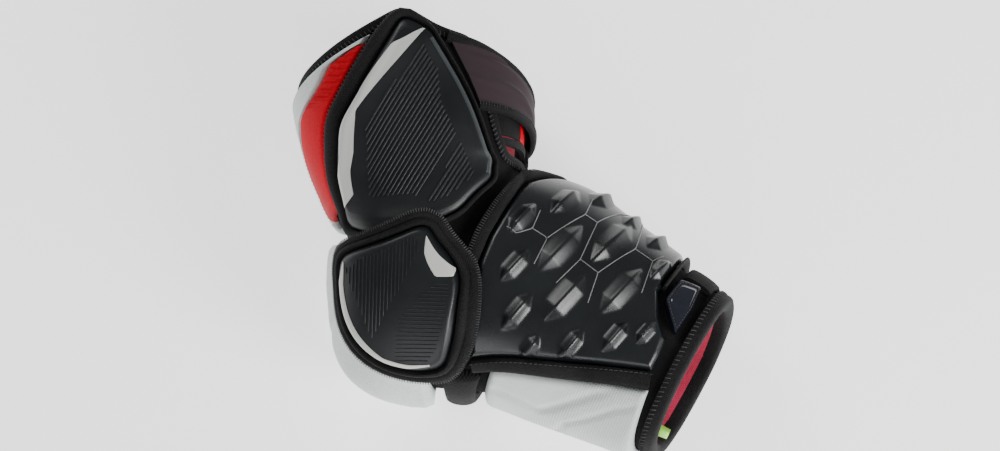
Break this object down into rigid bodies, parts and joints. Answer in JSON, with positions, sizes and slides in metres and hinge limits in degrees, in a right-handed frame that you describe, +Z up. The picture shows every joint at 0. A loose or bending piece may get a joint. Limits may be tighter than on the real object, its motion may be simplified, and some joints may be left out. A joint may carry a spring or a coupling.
{
  "type": "elbow pad",
  "caption": "Ice-hockey elbow pad lying on its side: padded sleeve with upper-arm shield, elbow shield, moulded forearm guard, bound edges and straps.",
  "frame": {"origin": "on the ground under the middle of the pad, which lies on the side that faces the body", "axes": "+Z up, towards the shields; -X is the outside of the elbow, +X the wrist end; +Y the upper-arm end"},
  "size_m": [0.2548, 0.2454, 0.1158],
  "materials": {
    "lining_knit": "soft brushed red knit",
    "sleeve_fabric": "black padded jersey, matte",
    "binding_tape": "black bias tape with grey overcast stitches",
    "moulded_shell": "satin moulded black with fine ribs",
    "moulded_guard": "satin moulded black with raised lozenges",
    "silver_film": "silver grey film with a fine grain",
    "red_panel": "red coated fabric over foam",
    "white_panel": "cool white coated foam with a fine grain",
    "strap_mesh": "dark grey and wine mesh, wrinkled",
    "glossy_patch": "glossy navy black",
    "lime_tab": "soft lime rubber"
  },
  "bodies": {
    "root": {"lining": "lining_knit", "sleeve": "sleeve_fabric", "sleeve_hem": "binding_tape", "bicep_shield": "moulded_shell", "bicep_shield_binding": "binding_tape", "bicep_chevron": "silver_film", "side_panel": "red_panel", "triceps_panel": "white_panel", "bicep_strap": "strap_mesh", "bicep_strap_hem": "binding_tape", "bicep_strap_piping": "binding_tape", "inner_strap": "red_panel", "inner_strap_hem": "binding_tape", "elbow_cap": "white_panel", "elbow_wing": "moulded_shell", "elbow_wing_binding": "binding_tape", "wing_flash": "silver_film", "wing_crescent": "silver_film", "elbow_strap": "sleeve_fabric", "forearm_guard": "moulded_guard", "forearm_guard_binding": "binding_tape", "ulna_band": "binding_tape", "ulna_panel": "white_panel", "wrist_hem": "binding_tape", "wrist_tab": "glossy_patch", "wrist_strap": "sleeve_fabric", "pull_tab": "lime_tab"}
  },
  "joints": []
}
